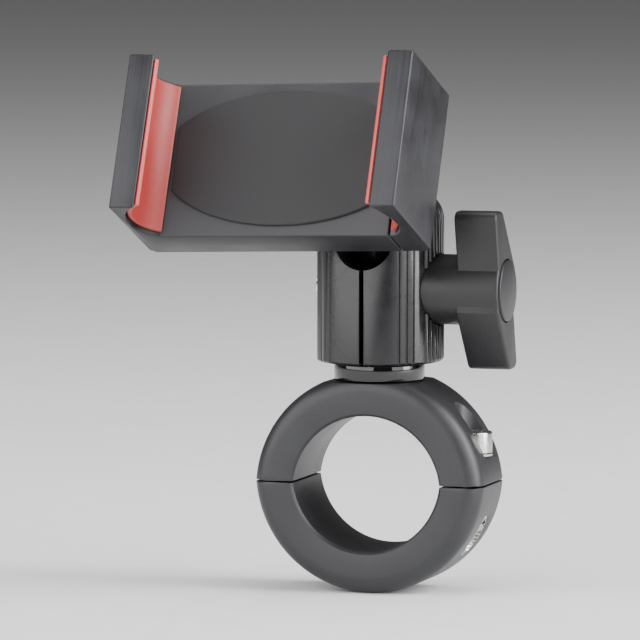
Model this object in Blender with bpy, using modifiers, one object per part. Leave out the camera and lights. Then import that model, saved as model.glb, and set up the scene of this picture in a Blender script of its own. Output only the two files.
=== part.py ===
"""Spring-loaded phone holder on a ball head that clamps round a handlebar.

Frame: the origin is the centre of the handlebar bore. +Y runs along the bar, away from the
phone's screen, +X points to the wing knob and +Z is up. All lengths are in metres.
The phone holder is laid out in its own frame, whose origin is the ball's centre: x runs across
the phone, y from the phone's screen towards the back and z up the holder's height.
"""

from math import acos, atan2, cos, degrees, hypot, pi, radians, sin, sqrt

import bmesh
import bpy
from mathutils import Matrix, Vector

MM = 0.001

# Clearance between neighbouring solids.
GAP = 0.3 * MM

# Handlebar clamp: two half rings, closed on a bar of 31.8 mm.
BAR_RADIUS = 15.9 * MM
BORE_RADIUS = 17.85 * MM
RING_RADIUS = 27.7 * MM
RING_LENGTH = 23.5 * MM
RING_FILLET = 4.2 * MM
BORE_CHAMFER = 0.6 * MM
SPLIT = 0.5 * MM
HALF_SHIFT = BORE_RADIUS - BAR_RADIUS
SEAT_HEIGHT = 23.4 * MM

# M5 socket screws that close the clamp. The left one stands nearer the bar.
SCREWS = (("left", -21.8 * MM), ("right", 23.0 * MM))
SCREW_RADIUS = 2.5 * MM
SCREW_HOLE_RADIUS = 2.75 * MM
SCREW_HEAD_RADIUS = 4.25 * MM
SCREW_HEAD_HEIGHT = 4.9 * MM
SCREW_END = -11.0 * MM
SCREW_SOCKET = 4.0 * MM
SOCKET_DEPTH = 2.4 * MM
TURNED_EDGE = 0.4 * MM
POCKET_RADIUS = 4.55 * MM
POCKET_FLOOR = 6.1 * MM
WASHER_THICKNESS = 0.5 * MM

# Swivel post: a collar on the clamp and a shaft inside the head.
COLLAR_RADIUS = 10.6 * MM
COLLAR_TOP = 27.6 * MM
POST_RADIUS = 6.2 * MM
POST_TOP = 38.0 * MM
POST_GROOVE = 1.0 * MM
POST_GROOVE_FROM = 31.0 * MM
POST_GROOVE_TO = 34.5 * MM
POST_HEAD_RADIUS = 4.2 * MM
POST_HEAD_TOP = 19.1 * MM
POST_SCREW_TOP = 32.0 * MM
POST_SOCKET_RADIUS = 1.5 * MM
POST_SOCKET_DEPTH = 1.6 * MM

# Ball head.
HEAD_RADIUS = 14.9 * MM
HEAD_BOTTOM = 27.9 * MM
HEAD_TOP = 66.3 * MM
HEAD_FILLET = 1.3 * MM
RIB_TOP = 15.1 * MM
# The crowned top edge, as (radius, height) from the rim to the straight side.
CROWN = ((12.6 * MM, HEAD_TOP), (14.5 * MM, 63.8 * MM), (RIB_TOP, 60.3 * MM))
RIB_ROOT = 14.5 * MM
RIB_PITCH = 6.5
RIBS_FROM = 62.0
RIBS_TO = 118.0
FLUTE_DEPTH = 0.4 * MM
FLUTES_AT = (34.0, 41.5, 48.5)
FLUTE_HALF_ANGLE = 1.2
SHAFT_BORE = POST_RADIUS + GAP
NOTCH_RADIUS = 7.0 * MM
SLIT_WIDTH = 1.1 * MM
SLIT_FRONT_TO = -2.0 * MM
KNOB_SPOT_X = 11.0 * MM
SPOT_RADIUS = 8.6 * MM
NUT_SPOT_X = 11.4 * MM
NUT_SPOT_RADIUS = 5.9 * MM
# How far a cutter runs past the surface that it opens.
RUN_OUT = 5.0 * MM

# Ball and its stem.
BALL_HEIGHT = 57.05 * MM
BALL_RADIUS = 8.0 * MM
SOCKET_RADIUS = BALL_RADIUS + GAP
MOUTH_RADIUS = 7.0 * MM
FUNNEL_RADIUS = 10.5 * MM
STEM_RADIUS = 3.5 * MM
THREAD_RADIUS = 3.1 * MM
DISC_RADIUS = 9.0 * MM
DISC_FROM = 15.3 * MM
DISC_TO = 16.4 * MM
WASHER_FROM = DISC_TO + GAP
WASHER_TO = 17.9 * MM
THREAD_END = 25.4 * MM
THREAD_CHAMFER = 0.5 * MM

# Wing knob and its clamping bolt.
KNOB_HEIGHT = 45.0 * MM
KNOB_STEM_RADIUS = 8.2 * MM
KNOB_STEM_FROM = KNOB_SPOT_X + GAP
KNOB_EDGE = 0.8 * MM
WING_FROM = 20.6 * MM
WING_TO = 30.8 * MM
# The upper wing seen from its end, as (y, z) about the bolt. The lower wing is its half turn.
WING_NEAR_ROOT = (-6.5 * MM, 5.4 * MM)
WING_NEAR_CORNER = ((-9.2 * MM, 16.8 * MM), (-8.6 * MM, 18.2 * MM), (-7.2 * MM, 18.8 * MM))
WING_FAR_CORNER = ((-4.4 * MM, 18.8 * MM), (-3.2 * MM, 18.4 * MM), (-2.3 * MM, 17.5 * MM))
WING_FAR_ROOT = (7.6 * MM, 4.8 * MM)
CAP_RADIUS = 7.45 * MM
CAP_DEPTH = 1.6 * MM
CAP_RISE = 1.0 * MM
CAP_EDGE = 0.4 * MM
BOLT_RADIUS = 2.5 * MM
BOLT_HOLE_RADIUS = 2.85 * MM
BOLT_COVER = 3.0 * MM
NUT_RADIUS = 4.8 * MM
NUT_TEETH = 18
NUT_TOOTH_DEPTH = 0.35 * MM
NUT_FROM = -NUT_SPOT_X - GAP
NUT_TO = -14.2 * MM
BOLT_INSET = 0.4 * MM

# Phone holder, in its own frame.
HOLDER_WIDTH = 69.4 * MM
HOLDER_DEPTH = 28.8 * MM
HOLDER_HEIGHT = 38.1 * MM
HOLDER_BACK = -18.2 * MM
HOLDER_CENTRE_X = -14.25 * MM
HOLDER_CENTRE_Z = 8.1 * MM
HOLDER_TURN = -3.8
HOLDER_TILT = -25.1
HOLDER_ROLL = -1.92
HOLDER_FRONT = HOLDER_BACK - HOLDER_DEPTH
HOLDER_LEFT = HOLDER_CENTRE_X - HOLDER_WIDTH / 2
HOLDER_BOTTOM = HOLDER_CENTRE_Z - HOLDER_HEIGHT / 2
HOLDER_TOP = HOLDER_CENTRE_Z + HOLDER_HEIGHT / 2
PLATE_DEPTH = 18.7 * MM
JAW_TIP = 6.25 * MM
JAW_EDGE = 0.6 * MM
BACK_CHAMFER = 1.6 * MM
# The jaw's hollow inner side, as (width, depth) from its outer front corner.
LIP = ((6.25 * MM, 0.4 * MM), (2.0 * MM, 6.0 * MM), (1.4 * MM, 10.7 * MM))
HEEL = ((1.4 * MM, 10.7 * MM), (2.2 * MM, 14.6 * MM), (5.9 * MM, 18.7 * MM))
# The sliding jaw's hollow is shallower.
SLIDING_LIP = ((6.25 * MM, 0.4 * MM), (3.9 * MM, 6.8 * MM), (3.1 * MM, 12.3 * MM))
SLIDING_HEEL = ((3.1 * MM, 12.3 * MM), (4.0 * MM, 15.8 * MM), (5.9 * MM, 18.7 * MM))
LINING_THICKNESS = 1.0 * MM
LINING_INSET = 1.0 * MM
HOUSING_WIDTH = 61.8 * MM
COVER_THICKNESS = 1.6 * MM
# The rim of the housing that the cover sits in, at its sides and at its top and bottom.
COVER_SIDE_RIM = 2.0 * MM
COVER_RIM = 1.5 * MM
COVER_BEVEL = 0.5 * MM
FRONT_WALL = 1.8 * MM
PAD_THICKNESS = 0.9 * MM
PAD_HALF_WIDTH = 31.0 * MM
PAD_HALF_HEIGHT = 16.6 * MM
PAD_FROM = 7.4 * MM
PAD_STEPS = 24
ROD_RADIUS = 1.25 * MM
ROD_HEIGHTS = (-7.9 * MM, 24.1 * MM)
ROD_WAY_FROM = 9.0 * MM
ROD_FROM = 12.0 * MM
ROD_TO = 66.5 * MM
TONGUE_FROM = 22.0 * MM
TONGUE_HEIGHTS = (6.8 * MM, 21.4 * MM)
TONGUE_THICKNESS = 2.0 * MM
CHANNEL_FROM = 3.0 * MM
SPRING_HEIGHTS = (10.5 * MM, 17.7 * MM)
SPRING_RADIUS = 1.6 * MM
SPRING_WIRE = 0.28 * MM
SPRING_TURNS = 8
SPRING_STEPS = 6
INSERT_RADIUS = 4.5 * MM
COVER_SCREWS = ((5.5 * MM, -7.5 * MM), (5.5 * MM, 23.7 * MM), (36.5 * MM, 0.6 * MM))
COVER_SCREW_RADIUS = 1.0 * MM
COVER_SCREW_DEPTH = 5.6 * MM
COVER_HEAD_RADIUS = 1.6 * MM
COVER_HEAD_HEIGHT = 1.1 * MM
LIGHT_POCKET_TO = 33.0 * MM
LIGHT_POCKET_HALF_HEIGHT = 5.2 * MM

TURN_STEPS = 36
SMALL_STEPS = 20
RING_STEPS = 56
SMALLEST_STEPS = 12
SMOOTH_ANGLE = radians(35)
MERGE = 0.00001

FINISHES = {
    # name: (sRGB colour, roughness, metallic)
    "brushed_black": ("3A3A3E", 0.42, 0.6),
    "black_plastic": ("2E2E30", 0.55, 0.0),
    "pad_rubber": ("3C3C3E", 0.8, 0.0),
    "red_rubber": ("B84A48", 0.6, 0.0),
    "black_paint": ("1C1C1E", 0.3, 0.0),
    "gloss_black": ("0C0C0E", 0.08, 0.0),
    "satin_black": ("46464A", 0.5, 0.3),
    "pebbled_plastic": ("2A2A2C", 0.5, 0.0),
    "steel": ("C8C8C6", 0.25, 1.0),
    "brass": ("B89A5A", 0.3, 1.0),
}


def linear(code):
    """The linear colour of an sRGB hex code, with alpha 1."""
    parts = [int(code[i : i + 2], 16) / 255 for i in (0, 2, 4)]
    return [p / 12.92 if p <= 0.04045 else ((p + 0.055) / 1.055) ** 2.4 for p in parts] + [1]


def clear_scene():
    for obj in list(bpy.data.objects):
        bpy.data.objects.remove(obj)


def make_collection(name):
    collection = bpy.data.collections.new(name)
    bpy.context.scene.collection.children.link(collection)
    return collection


def make_material(name):
    colour, roughness, metallic = FINISHES[name]
    material = bpy.data.materials.new(name)
    material.use_nodes = True
    shader = material.node_tree.nodes["Principled BSDF"]
    shader.inputs["Base Color"].default_value = linear(colour)
    shader.inputs["Roughness"].default_value = roughness
    shader.inputs["Metallic"].default_value = metallic
    return material


clear_scene()
PARTS = make_collection("phone_mount")
CUTTERS = make_collection("cutters")
MATERIALS = {name: make_material(name) for name in FINISHES}


# ---- building blocks ----


def add_object(name, mesh, axis="Z"):
    """Links the mesh as an object. What it holds along its own z comes to lie along the axis."""
    if axis == "X":
        mesh.transform(Matrix(((0, 0, 1, 0), (1, 0, 0, 0), (0, 1, 0, 0), (0, 0, 0, 1))))
    if axis == "Y":
        mesh.transform(Matrix(((1, 0, 0, 0), (0, 0, -1, 0), (0, 1, 0, 0), (0, 0, 0, 1))))
    obj = bpy.data.objects.new(name, mesh)
    PARTS.objects.link(obj)
    return obj


def evaluated_mesh(obj):
    graph = bpy.context.evaluated_depsgraph_get()
    return bpy.data.meshes.new_from_object(obj.evaluated_get(graph))


def welded(mesh):
    """The mesh with doubled points merged and its faces turned outwards."""
    work = bmesh.new()
    work.from_mesh(mesh)
    bmesh.ops.remove_doubles(work, verts=work.verts, dist=MERGE / 10)
    bmesh.ops.recalc_face_normals(work, faces=work.faces)
    work.to_mesh(mesh)
    work.free()
    return mesh


def block(name, low, high):
    """A box between two corners."""
    work = bmesh.new()
    bmesh.ops.create_cube(work, size=1)
    size = Vector(high) - Vector(low)
    bmesh.ops.scale(work, vec=size, verts=work.verts)
    bmesh.ops.translate(work, vec=Vector(low) + size / 2, verts=work.verts)
    mesh = bpy.data.meshes.new(name)
    work.to_mesh(mesh)
    work.free()
    return add_object(name, mesh)


def cylinder(name, radius, low, high, axis="Z", at=(0, 0, 0), steps=SMALL_STEPS):
    """A round bar along the axis, from low to high on it, moved by at."""
    work = bmesh.new()
    bmesh.ops.create_cone(
        work, cap_ends=True, segments=steps, radius1=radius, radius2=radius, depth=high - low
    )
    bmesh.ops.translate(work, vec=(0, 0, (low + high) / 2), verts=work.verts)
    mesh = bpy.data.meshes.new(name)
    work.to_mesh(mesh)
    work.free()
    obj = add_object(name, mesh, axis)
    obj.location = at
    return obj


def curve_mesh(name, points, extrude=0.0, bevel=0.0):
    """The closed mesh of a flat filled outline, or of a wire along the points."""
    curve = bpy.data.curves.new(name, "CURVE")
    spline = curve.splines.new("POLY")
    spline.points.add(len(points) - 1)
    for slot, point in zip(spline.points, points):
        slot.co = (*point, 0, 1) if len(point) == 2 else (*point, 1)
    if bevel:
        curve.dimensions = "3D"
        curve.bevel_depth = bevel
        curve.bevel_resolution = 2
        curve.use_fill_caps = True
    else:
        curve.dimensions = "2D"
        spline.use_cyclic_u = True
        curve.fill_mode = "BOTH"
        curve.extrude = extrude
    guide = bpy.data.objects.new(name, curve)
    PARTS.objects.link(guide)
    mesh = welded(evaluated_mesh(guide))
    bpy.data.objects.remove(guide)
    return mesh


def prism(name, outline, low, high, axis="Z"):
    """A flat outline extruded along the axis. Along Y the outline's second value is z."""
    mesh = curve_mesh(name, outline, extrude=(high - low) / 2)
    middle = (low + high) / 2
    mesh.transform(Matrix.Translation((0, 0, -middle if axis == "Y" else middle)))
    return add_object(name, mesh, axis)


def turned(name, profile, axis="Z", closed=False, steps=TURN_STEPS):
    """A profile of (radius, height), running down its outer side, turned about the axis."""
    mesh = bpy.data.meshes.new(name)
    count = len(profile)
    edges = [(i, i + 1) for i in range(count - 1)] + ([(count - 1, 0)] if closed else [])
    mesh.from_pydata([(r, 0, z) for r, z in profile], edges, [])
    obj = bpy.data.objects.new(name, mesh)
    PARTS.objects.link(obj)
    screw = obj.modifiers.new("turn", "SCREW")
    screw.steps = steps
    screw.render_steps = steps
    screw.use_merge_vertices = True
    screw.merge_threshold = MERGE
    mesh = welded(evaluated_mesh(obj))
    bpy.data.objects.remove(obj)
    return add_object(name, mesh, axis)


def combine(obj, other, operation):
    modifier = obj.modifiers.new(other.name, "BOOLEAN")
    modifier.operation = operation
    modifier.object = other
    modifier.solver = "EXACT"
    PARTS.objects.unlink(other)
    CUTTERS.objects.link(other)
    other.hide_render = True
    other.display_type = "WIRE"


def cut(obj, *cutters):
    for cutter in cutters:
        combine(obj, cutter, "DIFFERENCE")


def keep(obj, envelope):
    combine(obj, envelope, "INTERSECT")


def join(obj, other):
    combine(obj, other, "UNION")


def finish(obj, material, parent):
    """Applies the modifiers, shades round faces smooth and hangs the piece on its parent."""
    bpy.context.view_layer.update()
    obj.data = evaluated_mesh(obj)
    obj.modifiers.clear()
    obj.data.shade_smooth()
    obj.data.set_sharp_from_angle(angle=SMOOTH_ANGLE)
    obj.data.materials.clear()
    obj.data.materials.append(MATERIALS[material])
    if parent:
        obj.location = Vector(obj.location) - Vector(parent.get("origin", (0, 0, 0)))
        obj.parent = parent
    return obj


def axis_empty(name, location, parent=None, rotation=(0, 0, 0), local=False):
    """An empty on a joint's axis. Pieces hung on it are laid out in world space unless local."""
    empty = bpy.data.objects.new(name, None)
    empty.empty_display_size = 10 * MM
    PARTS.objects.link(empty)
    offset = Vector(parent.get("origin", (0, 0, 0))) if parent else Vector()
    empty.location = Vector(location) - offset
    empty.rotation_euler = rotation
    empty.parent = parent
    empty["origin"] = (0, 0, 0) if local else tuple(location)
    return empty


def arc(radius, start, end, count, centre=(0, 0)):
    """Points on a circle, from one angle in degrees to another."""
    angles = [radians(start + (end - start) * i / (count - 1)) for i in range(count)]
    return [(centre[0] + radius * cos(a), centre[1] + radius * sin(a)) for a in angles]


def arc_through(first, middle, last, count):
    """Points on the circle through three points, from the first to the last."""
    (ax, ay), (bx, by), (cx, cy) = first, middle, last
    d = 2 * (ax * (by - cy) + bx * (cy - ay) + cx * (ay - by))
    a, b, c = ax * ax + ay * ay, bx * bx + by * by, cx * cx + cy * cy
    ux = (a * (by - cy) + b * (cy - ay) + c * (ay - by)) / d
    uy = (a * (cx - bx) + b * (ax - cx) + c * (bx - ax)) / d
    start, end = atan2(ay - uy, ax - ux), atan2(cy - uy, cx - ux)
    if abs(end - start) > pi:
        end += 2 * pi if end < start else -2 * pi
    return arc(hypot(ax - ux, ay - uy), degrees(start), degrees(end), count, (ux, uy))


def offset_curve(points, distance):
    """An open curve moved sideways, to the right of its direction."""
    moved = []
    for i, (x, y) in enumerate(points):
        before, after = points[max(i - 1, 0)], points[min(i + 1, len(points) - 1)]
        dx, dy = after[0] - before[0], after[1] - before[1]
        length = hypot(dx, dy)
        moved.append((x + dy / length * distance, y - dx / length * distance))
    return moved


# ---- handlebar clamp ----


def ring_profile():
    """Section of the clamp ring: rounded outer edges and a small chamfer at the bore."""
    half, inner = RING_LENGTH / 2, RING_RADIUS - RING_FILLET
    top = arc(RING_FILLET, 90, 0, 5, (inner, half - RING_FILLET))
    bottom = arc(RING_FILLET, 0, -90, 5, (inner, RING_FILLET - half))
    chamfer = BORE_RADIUS + BORE_CHAMFER
    bore = [
        (chamfer, -half),
        (BORE_RADIUS, BORE_CHAMFER - half),
        (BORE_RADIUS, half - BORE_CHAMFER),
        (chamfer, half),
    ]
    return top + bottom + bore


def clamp_half(name, side):
    """One half ring. Its own centre lies past the split, so that the pair closes on a thinner bar."""
    half = turned(name, ring_profile(), "Y", closed=True, steps=RING_STEPS)
    half.data.transform(Matrix.Translation((0, 0, -side * HALF_SHIFT)))
    reach = 2 * RING_RADIUS
    near, far = side * SPLIT / 2, side * reach
    low, high = min(near, far), max(near, far)
    keep(half, block(name + "_side", (-reach, -reach, low), (reach, reach, high)))
    return half


def clamp_upper_half(parent):
    half = clamp_half("clamp_upper_half", 1)
    reach = 2 * RING_RADIUS
    cut(half, block("seat_cut", (-reach, -reach, SEAT_HEIGHT), (reach, reach, reach)))
    cut(half, cylinder("post_screw_hole", SCREW_HOLE_RADIUS, 0, reach))
    cut(half, cylinder("post_head_hole", POST_HEAD_RADIUS + GAP, 0, POST_HEAD_TOP + GAP))
    for side, x in SCREWS:
        cut(half, cylinder("pocket_" + side, POCKET_RADIUS, POCKET_FLOOR, reach, at=(x, 0, 0)))
        cut(half, cylinder("upper_hole_" + side, SCREW_HOLE_RADIUS, -reach, reach, at=(x, 0, 0)))
    finish(half, "satin_black", parent)


def clamp_lower_half(parent):
    half = clamp_half("clamp_lower_half", -1)
    reach = 2 * RING_RADIUS
    for side, x in SCREWS:
        cut(half, cylinder("lower_hole_" + side, SCREW_HOLE_RADIUS, -reach, reach, at=(x, 0, 0)))
    finish(half, "satin_black", parent)


def clamp_screw(side, x, parent):
    """A socket screw from its head down to its end, with its hexagon socket."""
    bottom = POCKET_FLOOR + WASHER_THICKNESS + 2 * GAP
    top = bottom + SCREW_HEAD_HEIGHT
    edge = TURNED_EDGE
    profile = [
        (0, top),
        (SCREW_HEAD_RADIUS - edge, top),
        (SCREW_HEAD_RADIUS, top - edge),
        (SCREW_HEAD_RADIUS, bottom),
        (SCREW_RADIUS, bottom),
        (SCREW_RADIUS, SCREW_END + 2 * edge),
        (SCREW_RADIUS - 2 * edge, SCREW_END),
        (0, SCREW_END),
    ]
    screw = turned("clamp_screw_" + side, profile, steps=SMALL_STEPS)
    screw.location = (x, 0, 0)
    low, corner = top - SOCKET_DEPTH, SCREW_SOCKET / sqrt(3)
    cut(screw, cylinder("socket_" + side, corner, low, 2 * top, at=(x, 0, 0), steps=6))
    finish(screw, "steel", parent)


def clamp_washer(side, x, parent):
    low = POCKET_FLOOR + GAP
    high = low + WASHER_THICKNESS
    outer, inner = SCREW_HEAD_RADIUS, SCREW_RADIUS + GAP
    profile = [(outer, high), (outer, low), (inner, low), (inner, high)]
    washer = turned("clamp_washer_" + side, profile, closed=True, steps=SMALL_STEPS)
    washer.location = (x, 0, 0)
    finish(washer, "steel", parent)


def swivel_post(parent):
    """The glossy collar on the clamp's seat and the shaft that the head turns on."""
    bottom = SEAT_HEIGHT + GAP
    edge = TURNED_EDGE
    profile = [
        (0, POST_TOP),
        (POST_RADIUS - 2 * edge, POST_TOP),
        (POST_RADIUS, POST_TOP - 2 * edge),
        (POST_RADIUS, POST_GROOVE_TO),
        (POST_RADIUS - POST_GROOVE, POST_GROOVE_TO - POST_GROOVE),
        (POST_RADIUS - POST_GROOVE, POST_GROOVE_FROM + POST_GROOVE),
        (POST_RADIUS, POST_GROOVE_FROM),
        (POST_RADIUS, COLLAR_TOP),
        (COLLAR_RADIUS - edge, COLLAR_TOP),
        (COLLAR_RADIUS, COLLAR_TOP - edge),
        (COLLAR_RADIUS, bottom),
        (0, bottom),
    ]
    post = turned("swivel_post", profile)
    cut(post, cylinder("post_thread", SCREW_HOLE_RADIUS, 0, POST_SCREW_TOP + GAP))
    finish(post, "gloss_black", parent)


def post_screw(parent):
    """The screw that holds the swivel post, put in from the bore."""
    low = BAR_RADIUS + GAP
    profile = [
        (0, POST_SCREW_TOP),
        (SCREW_RADIUS, POST_SCREW_TOP),
        (SCREW_RADIUS, POST_HEAD_TOP),
        (POST_HEAD_RADIUS, POST_HEAD_TOP),
        (POST_HEAD_RADIUS, low),
        (0, low),
    ]
    screw = turned("post_screw", profile, steps=SMALL_STEPS)
    cut(screw, cylinder("post_socket", POST_SOCKET_RADIUS, 0, low + POST_SOCKET_DEPTH, steps=6))
    finish(screw, "steel", parent)


# ---- ball head ----


def head_point(radius, angle):
    """A point of the head's outline, at an angle in degrees from the front (-Y) towards +X."""
    return (radius * sin(radians(angle)), -radius * cos(radians(angle)))


def side_outline():
    """The head's outline from front to back on the knob's side: flutes, a plain band and ribs."""
    points = [head_point(HEAD_RADIUS, a) for a in range(0, 33, 4)]
    for angle in FLUTES_AT:
        points.append(head_point(HEAD_RADIUS, angle - FLUTE_HALF_ANGLE))
        points.append(head_point(HEAD_RADIUS - FLUTE_DEPTH, angle))
        points.append(head_point(HEAD_RADIUS, angle + FLUTE_HALF_ANGLE))
    points.append(head_point(HEAD_RADIUS, (FLUTES_AT[-1] + RIBS_FROM) / 2))
    points.append(head_point(HEAD_RADIUS, RIBS_FROM - 1))
    count = round((RIBS_TO - RIBS_FROM) / RIB_PITCH)
    pitch = (RIBS_TO - RIBS_FROM) / count
    for i in range(count):
        start = RIBS_FROM + i * pitch
        points.append(head_point(RIB_ROOT, start))
        points.append(head_point(RIB_TOP, start + 0.3 * pitch))
        points.append(head_point(RIB_TOP, start + 0.7 * pitch))
    points.append(head_point(RIB_ROOT, RIBS_TO))
    points += [head_point(HEAD_RADIUS, a) for a in range(120, 181, 6)]
    return points


def head_outline():
    right = side_outline()
    left = [(-x, y) for x, y in reversed(right[1:-1])]
    return right + left


def rounded_envelope():
    """A turned solid that rounds the head's top and bottom edges."""
    inner = RIB_TOP - HEAD_FILLET
    top = arc_through(*CROWN, 6)
    bottom = arc(HEAD_FILLET, 0, -90, 4, (inner, HEAD_BOTTOM + HEAD_FILLET))
    return turned("head_envelope", [(0, HEAD_TOP)] + top + bottom + [(0, HEAD_BOTTOM)])


def head_cavity():
    """The hollow: a funnel mouth, the ball's socket and the bore for the swivel post."""
    top_angle = degrees(acos(MOUTH_RADIUS / SOCKET_RADIUS))
    low_angle = -degrees(acos(SHAFT_BORE / SOCKET_RADIUS))
    socket = arc(SOCKET_RADIUS, top_angle, low_angle, 9, (0, BALL_HEIGHT))
    above, below = HEAD_TOP + RUN_OUT, HEAD_BOTTOM - RUN_OUT
    profile = [(0, above), (FUNNEL_RADIUS, above), (FUNNEL_RADIUS, HEAD_TOP)]
    profile += socket + [(SHAFT_BORE, below), (0, below)]
    return turned("head_cavity", profile)


def notch_outline():
    """A U that is open at the top, in which the stem drops to the horizontal."""
    low = arc(NOTCH_RADIUS, 180, 360, 13, (0, BALL_HEIGHT))
    high = HEAD_TOP + RUN_OUT
    return low + [(NOTCH_RADIUS, high), (-NOTCH_RADIUS, high)]


def head_body(parent):
    body = prism("head_body", head_outline(), HEAD_BOTTOM, HEAD_TOP)
    far = 2 * HEAD_RADIUS
    keep(body, rounded_envelope())
    cut(body, head_cavity())
    cut(body, prism("notch", notch_outline(), -far, 0, "Y"))
    half_slit = SLIT_WIDTH / 2
    cut(body, block("slit", (-half_slit, -far, 0), (half_slit, SLIT_FRONT_TO, BALL_HEIGHT)))
    at = (0, 0, KNOB_HEIGHT)
    cut(body, cylinder("knob_spot", SPOT_RADIUS, KNOB_SPOT_X, far, "X", at, TURN_STEPS))
    cut(body, cylinder("nut_spot", NUT_SPOT_RADIUS, -far, -NUT_SPOT_X, "X", at))
    cut(body, cylinder("bolt_hole", BOLT_HOLE_RADIUS, -far, far, "X", at))
    finish(body, "black_paint", parent)


def clamp_nut(parent):
    """The toothed nut on the bolt's far end."""
    teeth = []
    for i in range(2 * NUT_TEETH):
        radius = NUT_RADIUS if i % 2 else NUT_RADIUS - NUT_TOOTH_DEPTH
        angle = pi * i / NUT_TEETH
        teeth.append((radius * cos(angle), KNOB_HEIGHT + radius * sin(angle)))
    nut = prism("clamp_nut", teeth, NUT_TO, NUT_FROM, "X")
    hole = cylinder("nut_hole", BOLT_HOLE_RADIUS, 2 * NUT_TO, 0, "X", (0, 0, KNOB_HEIGHT))
    cut(nut, hole)
    finish(nut, "steel", parent)


# ---- wing knob ----


def wing_outline():
    """End view of the two wings. The upper one leans towards the phone's side, -Y."""
    upper = [WING_NEAR_ROOT] + arc_through(*WING_NEAR_CORNER, 4)
    upper += arc_through(*WING_FAR_CORNER, 4) + [WING_FAR_ROOT]
    lower = [(-y, -z) for y, z in upper]
    return [(y, KNOB_HEIGHT + z) for y, z in upper + lower]


def wing_knob(parent):
    edge = KNOB_EDGE
    profile = [
        (0, WING_TO),
        (KNOB_STEM_RADIUS - edge, WING_TO),
        (KNOB_STEM_RADIUS, WING_TO - edge),
        (KNOB_STEM_RADIUS, KNOB_STEM_FROM + edge),
        (KNOB_STEM_RADIUS - edge, KNOB_STEM_FROM),
        (0, KNOB_STEM_FROM),
    ]
    knob = turned("wing_knob", profile, "X")
    knob.data.transform(Matrix.Translation((0, 0, KNOB_HEIGHT)))
    join(knob, prism("wings", wing_outline(), WING_FROM, WING_TO, "X"))
    at = (0, 0, KNOB_HEIGHT)
    floor = WING_TO - CAP_DEPTH
    cut(knob, cylinder("cap_seat", CAP_RADIUS, floor, 2 * WING_TO, "X", at, TURN_STEPS))
    cut(knob, cylinder("bolt_seat", BOLT_RADIUS + GAP, 0, floor - BOLT_COVER, "X", at))
    finish(knob, "pebbled_plastic", parent)


def knob_cap(parent):
    radius = CAP_RADIUS - GAP
    low, high = WING_TO - CAP_DEPTH + GAP, WING_TO + CAP_RISE
    shoulder = (radius - CAP_EDGE, high - 0.8 * CAP_RISE)
    dome = arc_through((0, high), (radius / 2, high - 0.2 * CAP_RISE), shoulder, 6)
    profile = dome + [(radius, WING_TO - CAP_EDGE), (radius, low), (0, low)]
    cap = turned("knob_cap", profile, "X")
    cap.location = (0, 0, KNOB_HEIGHT)
    finish(cap, "black_plastic", parent)


def clamp_bolt(parent):
    """The bolt that is moulded into the knob and pulls the head's two sides together."""
    near, far = NUT_TO + BOLT_INSET, WING_TO - CAP_DEPTH - BOLT_COVER - GAP
    bolt = cylinder("clamp_bolt", BOLT_RADIUS, near, far, "X", (0, 0, KNOB_HEIGHT))
    finish(bolt, "steel", parent)


# ---- ball and stem, in the holder's frame ----


def ball_stud(parent):
    """The ball, its stem and the thread that enters the holder, along the stem."""
    join_angle = degrees(acos(STEM_RADIUS / BALL_RADIUS))
    ball = arc(BALL_RADIUS, join_angle, -90, 12)
    profile = [
        (0, THREAD_END),
        (THREAD_RADIUS - THREAD_CHAMFER, THREAD_END),
        (THREAD_RADIUS, THREAD_END - THREAD_CHAMFER),
        (THREAD_RADIUS, DISC_FROM - GAP),
        (STEM_RADIUS, DISC_FROM - GAP),
    ]
    profile += ball[:-1] + [(0, -BALL_RADIUS)]
    stud = turned("ball_stud", profile, "Y", steps=SMALL_STEPS)
    finish(stud, "black_paint", parent)


def flat_ring(name, outer, inner, low, high, material, parent):
    profile = [(outer, high), (outer, low), (inner, low), (inner, high)]
    finish(turned(name, profile, "Y", closed=True, steps=SMALL_STEPS), material, parent)


# ---- phone holder, in its own frame ----


def holder_point(width, depth):
    """A point of the holder's section from its width and depth off the left front corner."""
    return (HOLDER_LEFT + width, HOLDER_FRONT + depth)


def jaw_hollow(sliding):
    lip, heel = (SLIDING_LIP, SLIDING_HEEL) if sliding else (LIP, HEEL)
    return arc_through(*lip, 8) + arc_through(*heel, 7)[1:]


def housing_outline():
    corner = [(BACK_CHAMFER, HOLDER_DEPTH), (0, HOLDER_DEPTH - BACK_CHAMFER), (0, JAW_EDGE)]
    corner += [(JAW_EDGE, 0), (JAW_TIP - JAW_EDGE, 0)]
    plate = [(HOUSING_WIDTH, PLATE_DEPTH), (HOUSING_WIDTH, HOLDER_DEPTH)]
    return [holder_point(*p) for p in corner + jaw_hollow(False) + plate]


def sliding_outline():
    end, chamfer = HOLDER_WIDTH - HOUSING_WIDTH - GAP, BACK_CHAMFER
    corner = [(chamfer, HOLDER_DEPTH), (0, HOLDER_DEPTH - chamfer), (0, JAW_EDGE)]
    tip = [(JAW_EDGE, 0), (JAW_TIP - JAW_EDGE, 0)]
    root = [(end, PLATE_DEPTH), (end, HOLDER_DEPTH)]
    points = corner + tip + jaw_hollow(True) + root
    return [holder_point(HOLDER_WIDTH - w, d) for w, d in points]


def lining_outline(mirrored):
    """A rubber lining that follows the jaw's hollow from its lip to the plate."""
    hollow = jaw_hollow(mirrored)
    back = offset_curve(hollow, GAP)
    front = offset_curve(hollow, GAP + LINING_THICKNESS)
    points = back + front[::-1]
    if mirrored:
        points = [(HOLDER_WIDTH - w, d) for w, d in points]
    return [holder_point(*p) for p in points]


def rod_cut(name, height, low, high):
    at = (0, HOLDER_FRONT + (PLATE_DEPTH + HOLDER_DEPTH) / 2, height)
    return cylinder(name, ROD_RADIUS + GAP, low, high, "X", at, SMALLEST_STEPS)


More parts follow.
